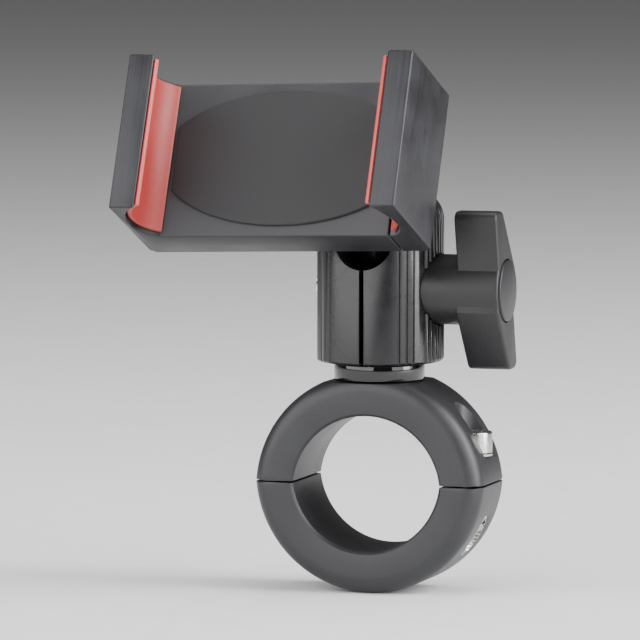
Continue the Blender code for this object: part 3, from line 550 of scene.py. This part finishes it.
def head_side(rib_root, rib_top):
    """Half of the head's outline, front to back: flutes, a plain band and ribs, as (x, y)."""
    steps = [(HEAD_RADIUS, a) for a in range(0, 33, 2)]
    for angle in FLUTES_AT:
        steps += [(HEAD_RADIUS, angle - 1.3), (HEAD_RADIUS - FLUTE_DEPTH, angle - 0.6)]
        steps += [(HEAD_RADIUS - FLUTE_DEPTH, angle + 0.6), (HEAD_RADIUS, angle + 1.3)]
    steps += [(HEAD_RADIUS, a) for a in (51.5, 54, 56.5, 59, 61)]
    pitch = (RIBS_TO - RIBS_FROM) / RIB_COUNT
    for i in range(RIB_COUNT):
        start = RIBS_FROM + i * pitch
        steps += [(rib_root, start), (rib_top - 0.1 * MM, start + 0.2 * pitch)]
        steps += [(rib_top, start + 0.35 * pitch), (rib_top, start + 0.65 * pitch)]
        steps += [(rib_top - 0.1 * MM, start + 0.8 * pitch)]
    steps += [(rib_root, RIBS_TO)] + [(HEAD_RADIUS, a) for a in range(120, 181, 3)]
    return [(r * sin(radians(a)), -r * cos(radians(a))) for r, a in steps]


def head_body():
    right = head_side(RIB_ROOT, RIB_TOP)
    left = head_side(LEFT_RIB_ROOT, LEFT_RIB_TOP)
    outline = right + [(-x, y) for x, y in reversed(left[1:-1])]
    points = [(x, y, HEAD_BOTTOM) for x, y in outline]
    head = raised("ball_head", points, (0, 0, HEAD_TOP - HEAD_BOTTOM))
    crown = arc_through(
        (12.6 * MM, 66.3 * MM), (14.5 * MM, 63.8 * MM), (RIB_TOP, 60.3 * MM), 12
    )
    foot = arc(1.3 * MM, 0, -90, 8, (13.8 * MM, HEAD_BOTTOM + 1.3 * MM))
    profile = [(0, HEAD_TOP)] + crown + foot + [(0, HEAD_BOTTOM)]
    envelope = spun("envelope", [(r, 0, z) for r, z in profile], (0, 0, 1), steps=144)
    carve(head, envelope, "INTERSECT")
    socket = BALL_RADIUS + GAP
    top, bottom = degrees(acos(7 * MM / socket)), -degrees(acos(6.5 * MM / socket))
    profile = [(0, 75 * MM), (10.5 * MM, 75 * MM), (10.5 * MM, HEAD_TOP)]
    profile += arc(socket, top, bottom, 20, (0, BALL_CENTRE.z))
    profile += [(6.5 * MM, 20 * MM), (0, 20 * MM)]
    carve(head, spun("cavity", [(r, 0, z) for r, z in profile], (0, 0, 1), steps=96))
    low = arc(NOTCH_RADIUS, 180, 360, 33, (0, BALL_CENTRE.z))
    notch = low + [(NOTCH_RADIUS, 75 * MM), (-NOTCH_RADIUS, 75 * MM)]
    carve(head, raised("notch", [(x, -30 * MM, z) for x, z in notch], (0, 30 * MM, 0)))
    carve(head, slab("slit", (-0.55 * MM, -30 * MM, 0), (0.55 * MM, -2 * MM, BALL_CENTRE.z)))
    at = (0, 0, KNOB_HEIGHT)
    carve(head, drill("knob_spot", 8.6 * MM, 11 * MM, 30 * MM, "X", at))
    carve(head, drill("nut_spot", 5.9 * MM, -30 * MM, -11.4 * MM, "X", at))
    carve(head, drill("bolt_hole", 2.85 * MM, -30 * MM, 30 * MM, "X", at))
    soften(head, 0.18 * MM, 2, 50)
    complete(head, ENAMEL, "head", "head_body", slot="black_coating", angle=30)


def clamp_nut():
    low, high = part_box("clamp_nut")
    teeth = []
    for i in range(2 * NUT_TEETH):
        radius, turn = 4.8 * MM if i % 2 else 4.4 * MM, pi * i / NUT_TEETH
        teeth.append((low.x, radius * cos(turn), KNOB_HEIGHT + radius * sin(turn)))
    nut = raised("toothed_nut", teeth, (high.x - low.x, 0, 0))
    carve(nut, drill("nut_hole", 2.8 * MM, -30 * MM, 0, "X", (0, 0, KNOB_HEIGHT)))
    soften(nut, 0.15 * MM)
    complete(nut, STEEL, "head", "clamp_nut", slot="steel")


# ---- wing knob ----


def round_x(name, outline, steps=96):
    """An outline of (along X, radius) turned about the bolt."""
    points = [(x, 0, KNOB_HEIGHT + r) for x, r in outline]
    return spun(name, points, (1, 0, 0), (0, 0, KNOB_HEIGHT), steps)


def wing_outline():
    """End view of both wings, as (y, z) about the bolt."""
    near = arc_through((-9.2 * MM, 16.8 * MM), (-8.6 * MM, 18.2 * MM), (-7.2 * MM, 18.8 * MM), 7)
    far = arc_through((-4.4 * MM, 18.8 * MM), (-3.2 * MM, 18.4 * MM), (-2.3 * MM, 17.5 * MM), 6)
    upper = [(-6.5 * MM, 5.4 * MM)] + near + far + [(7.6 * MM, 4.8 * MM)]
    return upper + [(-y, -z) for y, z in upper]


def wing_knob():
    points = [(WING_FROM, y, KNOB_HEIGHT + z) for y, z in wing_outline()]
    wings = raised("knob_with_wings", points, (WING_TO - WING_FROM, 0, 0))
    round_edges(wings, lambda p: p.x > WING_TO - 0.01 * MM, 0.7 * MM, 4)
    round_edges(wings, lambda p: p.x < WING_FROM + 0.01 * MM, 0.5 * MM, 3)
    edge, rim = 1.0 * MM, 0.7 * MM
    near = arc(edge, 180, 90, 7, (KNOB_FROM + edge, KNOB_STEM_RADIUS - edge))
    far = arc(rim, 90, 0, 5, (WING_TO - rim, KNOB_STEM_RADIUS - rim))
    stem = round_x("stem", [(KNOB_FROM, 0)] + near + far + [(WING_TO, 0)], 128)
    carve(wings, stem, "UNION")
    at = (0, 0, KNOB_HEIGHT)
    carve(wings, drill("cap_seat", CAP_RADIUS + GAP, WING_TO - 1.6 * MM, 60 * MM, "X", at, 96))
    carve(wings, drill("bolt_seat", 2.8 * MM, 0, WING_TO - 4.6 * MM, "X", at))
    soften(wings, 0.22 * MM, 2, 30)
    complete(wings, PEBBLED, "knob", "wing_knob", slot="knob_plastic")


def knob_cap():
    """The end disc, slightly domed."""
    low, high = WING_TO - 1.3 * MM, WING_TO + 1.0 * MM
    edge = arc(0.4 * MM, 0, 90, 5, (0, 0))
    rim = [(WING_TO + 0.1 * MM + h, CAP_RADIUS - 0.4 * MM + r) for r, h in edge]
    dome = [(WING_TO + 0.5 * MM + 0.5 * MM * (1 - (k / 8) ** 2), CAP_RADIUS * 0.94 * k / 8)
            for k in range(7, 0, -1)]
    cap = round_x("knob_end_cap", [(low, 0), (low, CAP_RADIUS)] + rim + dome + [(high, 0)])
    complete(cap, SMOOTH, "knob", "knob_cap", slot="smooth_plastic")


def clamp_bolt():
    low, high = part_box("clamp_bolt")
    outline = [(low.x, 0), (low.x, 2.0 * MM), (low.x + 0.5 * MM, 2.5 * MM), (high.x, 2.5 * MM)]
    bolt = round_x("clamping_bolt", outline + [(high.x, 0)], 48)
    complete(bolt, STEEL, "knob", "clamp_bolt", slot="steel")


# ---- ball and stem, in the holder's frame ----


def round_y(name, outline, steps=96, kind="chain", at=(0, 0)):
    """An outline of (radius, distance from the ball along the stem), turned and put in place."""
    points = [(at[0] + r, -h, at[1]) for r, h in outline]
    return into_holder(spun(name, points, (0, 1, 0), (at[0], 0, at[1]), steps, kind))


def ball_and_stem():
    outline = [(0, 25.4 * MM), (2.6 * MM, 25.4 * MM), (3.1 * MM, 24.9 * MM), (3.1 * MM, 15 * MM)]
    outline += [(3.5 * MM, 15 * MM)]
    outline += arc(BALL_RADIUS, degrees(acos(3.5 / 8)), -90, 32)[:-1] + [(0, -BALL_RADIUS)]
    complete(round_y("ball_and_stem", outline), BALL_BLACK, "ball", "ball_stud",
             slot="ball_coating")
    disc = [(9 * MM, 15.6 * MM), (8.7 * MM, 15.3 * MM), (3.4 * MM, 15.3 * MM)]
    disc += [(3.4 * MM, 16.4 * MM), (8.7 * MM, 16.4 * MM), (9 * MM, 16.1 * MM)]
    complete(round_y("stem_disc", disc, kind="loop"), STEEL, "ball", "mounting_disc", slot="steel")
    washer = [(9 * MM, 17 * MM), (8.7 * MM, 16.7 * MM), (3.4 * MM, 16.7 * MM)]
    washer += [(3.4 * MM, 17.9 * MM), (8.7 * MM, 17.9 * MM), (9 * MM, 17.6 * MM)]
    complete(round_y("rubbed_washer", washer, kind="loop"), SMOOTH, "ball", "grip_washer",
             slot="smooth_plastic")
    insert = [(4.5 * MM, 18.5 * MM), (4.2 * MM, 18.2 * MM), (3.4 * MM, 18.2 * MM)]
    insert += [(3.4 * MM, 26.2 * MM), (4.5 * MM, 26.2 * MM)]
    complete(round_y("brass_insert", insert, kind="loop"), BRASS, "holder", "threaded_insert",
             slot="brass")


# ---- phone holder ----


def at_section(points, mirrored=False):
    """Points of (width, depth) off the left front corner, at the holder's bottom."""
    if mirrored:
        points = [(HOLDER_WIDTH - w, d) for w, d in points]
    return [(HOLDER_LEFT + w, HOLDER_FRONT + d, HOLDER_BOTTOM) for w, d in points]


def jaw_hollow(sliding):
    lip, heel = (SLIDING_LIP, SLIDING_HEEL) if sliding else (LIP, HEEL)
    return arc_through(*lip, 16) + arc_through(*heel, 14)[1:]


def jaw_outline(end, sliding):
    """A jaw's section, from its back round the tip and along the hollow to the plate."""
    tip = 6.25 * MM
    points = [(BACK_CHAMFER, HOLDER_DEPTH), (0, HOLDER_DEPTH - BACK_CHAMFER)]
    points += arc(0.6 * MM, 180, 270, 5, (0.6 * MM, 0.6 * MM))
    points += [(tip - 0.6 * MM, 0)] + jaw_hollow(sliding)
    return points + [(end, PLATE_DEPTH), (end, HOLDER_DEPTH)]


def finish_shell(obj, *nodes, body):
    """Brushes the shell along the holder, and across it on its top and bottom."""
    obj.data.materials.append(BRUSHED)
    paint_faces(obj, BRUSHED_ACROSS, lambda c, n: abs(n.z) > 0.8)
    paint_faces(
        obj, PLATE, lambda c, n: n.y < -0.8 and abs(c.y - HOLDER_FRONT - PLATE_DEPTH) < 0.1 * MM
    )
    into_holder(obj)
    complete(obj, BRUSHED, body, *nodes, slot="brushed_shell")


def holder_housing():
    outline = at_section(jaw_outline(HOUSING_WIDTH, False))
    housing = raised("holder_shell", outline, (0, 0, HOLDER_HEIGHT))
    soften(housing, 0.4 * MM, 3, 40)
    left, right = HOLDER_LEFT, HOLDER_LEFT + HOUSING_WIDTH
    carve(housing, slab("channel", (left + 3 * MM, CHANNEL_FRONT, 6.5 * MM),
                        (right + MM, RECESS_FLOOR, 21.7 * MM)))
    carve(housing, slab("recess", (left + 2 * MM, RECESS_FLOOR, HOLDER_BOTTOM + 1.5 * MM),
                        (right - 2 * MM, 0, HOLDER_TOP - 1.5 * MM)))
    carve(housing, drill("insert_seat", 4.8 * MM, CHANNEL_FRONT, 0, "Y"))
    for height in ROD_HEIGHTS.values():
        at = (0, ROD_DEPTH, height)
        carve(housing, drill("rod_way", 1.55 * MM, left + 9 * MM, right + MM, "X", at, 32))
    finish_shell(housing, "holder_housing", body="holder")


def sliding_jaw():
    end = HOLDER_WIDTH - HOUSING_WIDTH - GAP
    outline = at_section(jaw_outline(end, True), True)
    jaw = raised("sprung_jaw", outline, (0, 0, HOLDER_HEIGHT))
    soften(jaw, 0.4 * MM, 3, 40)
    front = CHANNEL_FRONT + GAP
    tongue = slab("tongue", (HOLDER_LEFT + 22 * MM, front, 6.8 * MM),
                  (HOLDER_LEFT + HOUSING_WIDTH + MM, front + 2 * MM, 21.4 * MM))
    carve(jaw, tongue, "UNION")
    for height in ROD_HEIGHTS.values():
        at = (0, ROD_DEPTH, height)
        start, stop = HOLDER_LEFT + HOUSING_WIDTH - MM, HOLDER_LEFT + 66.8 * MM
        carve(jaw, drill("rod_seat", 1.55 * MM, start, stop, "X", at, 32))
    finish_shell(jaw, "sliding_jaw", body="jaw")


def lining(name, mirrored, body, node):
    """A rubber lining in the jaw's hollow, with a painted highlight along its lip: a strip of
    lighter red.
    """
    hollow = jaw_hollow(mirrored)
    section = offset_curve(hollow, GAP) + offset_curve(hollow, 1.3 * MM)[::-1]
    points = [(x, y, z + MM) for x, y, z in at_section(section, mirrored)]
    piece = raised(name, points, (0, 0, HOLDER_HEIGHT - 2 * MM))
    soften(piece, 0.2 * MM, 2, 50)
    piece.data.materials.append(RED)
    # Painted highlight: the faces at the front of the lip get the lighter red copy.
    paint_faces(piece, RED_PAINTED_HIGHLIGHT, lambda c, n: c.y < HOLDER_FRONT + 1.6 * MM)
    into_holder(piece)
    complete(piece, RED, body, node, slot="red_rubber")


def phone_pad():
    """The oval pad, cut straight at the jaws, with a rounded rim."""
    centre, left, right = HOLDER_WIDTH / 2, 7.4 * MM, HOUSING_WIDTH - GAP
    top = []
    for i in range(65):
        width = left + (right - left) * i / 64
        top.append((width, 16.6 * MM * sqrt(1 - ((width - centre) / (31 * MM)) ** 2)))
    edge = top + [(w, -h) for w, h in reversed(top)]
    face, middle = HOLDER_FRONT + PLATE_DEPTH - GAP, (HOLDER_BOTTOM + HOLDER_TOP) / 2
    points = [(HOLDER_LEFT + w, face, middle + h) for w, h in edge]
    pad = raised("oval_pad", points, (0, -0.9 * MM, 0))
    front = face - 0.89 * MM
    round_edges(pad, lambda p: p.y < front, 0.35 * MM, 3)
    into_holder(pad)
    complete(pad, PAD, "holder", "phone_pad", slot="pad_rubber")


def back_cover():
    """The cover, with a shallow step round its edge and its screw holes."""
    low = (HOLDER_LEFT + 2.3 * MM, RECESS_FLOOR + GAP, HOLDER_BOTTOM + 1.8 * MM)
    high = (HOLDER_LEFT + HOUSING_WIDTH - 2.3 * MM, HOLDER_BACK, HOLDER_TOP - 1.8 * MM)
    cover = slab("rear_cover", low, high)
    start_editing(cover)
    bpy.ops.mesh.select_mode(type="FACE")
    bpy.ops.mesh.select_all(action="DESELECT")
    stop_editing()
    for face in cover.data.polygons:
        face.select = face.normal.y > 0.9
    bpy.ops.object.mode_set(mode="EDIT")
    bpy.ops.mesh.inset(thickness=1.2 * MM)
    bpy.ops.mesh.extrude_region_move(TRANSFORM_OT_translate={"value": (0, -0.3 * MM, 0)})
    bpy.ops.mesh.inset(thickness=0.4 * MM)
    bpy.ops.mesh.extrude_region_move(TRANSFORM_OT_translate={"value": (0, 0.3 * MM, 0)})
    stop_editing()
    close_up(cover)
    carve(cover, drill("stud_hole", 4.8 * MM, HOLDER_BACK - 5 * MM, 0, "Y"))
    for width, height in COVER_SCREWS:
        at = (HOLDER_LEFT + width, 0, height)
        carve(cover, drill("screw_way", 1.3 * MM, HOLDER_BACK - 5 * MM, 0, "Y", at, 32))
    soften(cover, 0.12 * MM)
    into_holder(cover)
    complete(cover, SMOOTH, "holder", "back_cover", slot="smooth_plastic")


def cover_screws():
    """Small round-headed screws with a cross recess."""
    back = -HOLDER_BACK
    for i, (width, height) in enumerate(COVER_SCREWS):
        x = HOLDER_LEFT + width
        top, under = back - GAP - 1.1 * MM, back - GAP
        outline = [(0, back + 5.6 * MM), (MM, back + 5.6 * MM), (MM, under), (1.6 * MM, under)]
        shoulder = (1.1 * MM, top + 0.15 * MM)
        outline += arc_through((1.6 * MM, under - 0.3 * MM), shoulder, (0, top), 8)
        points = [(x + r, -h, height) for r, h in outline]
        screw = spun("pan_head_screw_%d" % (i + 1), points, (0, 1, 0), (x, 0, height), 48)
        for a, b in ((0.9, 0.18), (0.18, 0.9)):
            low = (x - a * MM, -top - 0.6 * MM, height - b * MM)
            carve(screw, slab("cross", low, (x + a * MM, 0, height + b * MM)))
        into_holder(screw)
        complete(screw, STEEL, "holder", "cover_screw_%d" % (i + 1), slot="steel")


def guide_rods():
    for name, height in ROD_HEIGHTS.items():
        start, end = HOLDER_LEFT + 12 * MM, HOLDER_LEFT + 66.5 * MM
        outline = [(start, 0), (start, 0.95 * MM), (start + 0.3 * MM, 1.25 * MM), (end, 1.25 * MM)]
        points = [(x, ROD_DEPTH, height + r) for x, r in outline + [(end, 0)]]
        rod = spun("polished_" + name, points, (1, 0, 0), (0, ROD_DEPTH, height), 48)
        into_holder(rod)
        complete(rod, STEEL, "jaw", name, slot="steel")


def paint_cad_nodes():
    """The CAD pieces that stay as they are: washers, the post's screw and the springs."""
    for name in ("clamp_washer_left", "clamp_washer_right", "post_screw", "lower_spring",
                 "upper_spring"):
        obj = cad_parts[name]
        obj.data.materials.clear()
        obj.data.materials.append(STEEL)


# ---- the studio ----

# Two wide lamps stand either side of the camera, with a brighter strip inside the right one. Each
# has its turn from the camera and its width in degrees, then its radiance.
CAMERA_AZIMUTH = 17.09
LIT_POINT = (-0.01, 0, 0.04)
SOFTBOX_DISTANCE, SOFTBOX_HEIGHT = 1.2, 1.3
SOFTBOXES = (
    ("left_softbox", -55, 88, 3.5),
    ("right_softbox", 61.5, 69, 3.5),
    ("right_strip", 72.5, 23, 10),
)

def area_light(name, place, target, size, power):
    data = bpy.data.lights.new(name, "AREA")
    data.shape = "RECTANGLE"
    data.size, data.size_y = size
    data.energy = power
    lamp = bpy.data.objects.new(name, data)
    lamp.location = place
    lamp.rotation_euler = (Vector(target) - Vector(place)).to_track_quat("-Z", "Y").to_euler()
    bpy.context.scene.collection.objects.link(lamp)


def studio():
    deselect()
    bpy.ops.mesh.primitive_grid_add(x_subdivisions=8, y_subdivisions=8, size=12,
                                    location=(0, 3, CAD_BOX[0].z))
    floor = bpy.context.object
    floor.name = "studio_floor"
    floor.data.materials.append(
        surface("pale_studio_paper", ("F2F2F2", "F6F6F6"), (0.8, 0.9), 20 * MM, 0.01 * MM)
    )
    world = bpy.data.worlds.new("studio_world")
    bpy.context.scene.world = world
    world.use_nodes = True
    tree = world.node_tree
    seen = tree.nodes["Background"]
    seen.inputs["Color"].default_value = linear("FFFFFF")
    dim = add_node(tree, "ShaderNodeBackground", {"Color": linear("FAFAFA"), "Strength": 0.1})
    path = add_node(tree, "ShaderNodeLightPath")
    mix = add_node(tree, "ShaderNodeMixShader",
                   links=[(path, "Is Camera Ray", 0), (dim, 0, 1), (seen, 0, 2)])
    tree.links.new(mix.outputs[0], tree.nodes["World Output"].inputs["Surface"])
    for name, turn, width, radiance in SOFTBOXES:
        softbox(name, turn, width, radiance)
    area_light("top_soft", (0.05, 0.1, 0.9), LIT_POINT, (0.6, 0.6), 4)


def softbox(name, turn, width, radiance):
    """A tall lamp, turned round the object from the camera and aimed at it."""
    angle = radians(CAMERA_AZIMUTH + turn)
    across = 2 * SOFTBOX_DISTANCE * tan(radians(width / 2))
    place = Vector((sin(angle), -cos(angle), 0)) * SOFTBOX_DISTANCE + Vector((0, 0, 0.6))
    power = radiance * pi * across * SOFTBOX_HEIGHT
    area_light(name, place, LIT_POINT, (across, SOFTBOX_HEIGHT), power)


def camera():
    """The viewing angle: 17.1 degrees round to the knob's side and 4.9 degrees up."""
    azimuth, elevation, distance = radians(CAMERA_AZIMUTH), radians(4.89), 1.52167
    target = Vector((-0.01454, 0, 0.03705))
    back = Vector((sin(azimuth) * cos(elevation), -cos(azimuth) * cos(elevation), sin(elevation)))
    data = bpy.data.cameras.new("camera")
    data.sensor_width, data.lens = 36, 365.625
    data.clip_start = 0.1
    eye = bpy.data.objects.new("camera", data)
    eye.location = target + distance * back
    eye.rotation_euler = (-back).to_track_quat("-Z", "Y").to_euler()
    bpy.context.scene.collection.objects.link(eye)
    bpy.context.scene.camera = eye


camera()
studio()
upper_half()
lower_half()
for screw_side, screw_x in SCREWS.items():
    clamp_screw(screw_side, screw_x)
swivel_post()
head_body()
clamp_nut()
wing_knob()
knob_cap()
clamp_bolt()
ball_and_stem()
holder_housing()
sliding_jaw()
lining("fixed_red_lining", False, "holder", "fixed_jaw_lining")
lining("sliding_red_lining", True, "jaw", "sliding_jaw_lining")
phone_pad()
back_cover()
cover_screws()
guide_rods()
paint_cad_nodes()
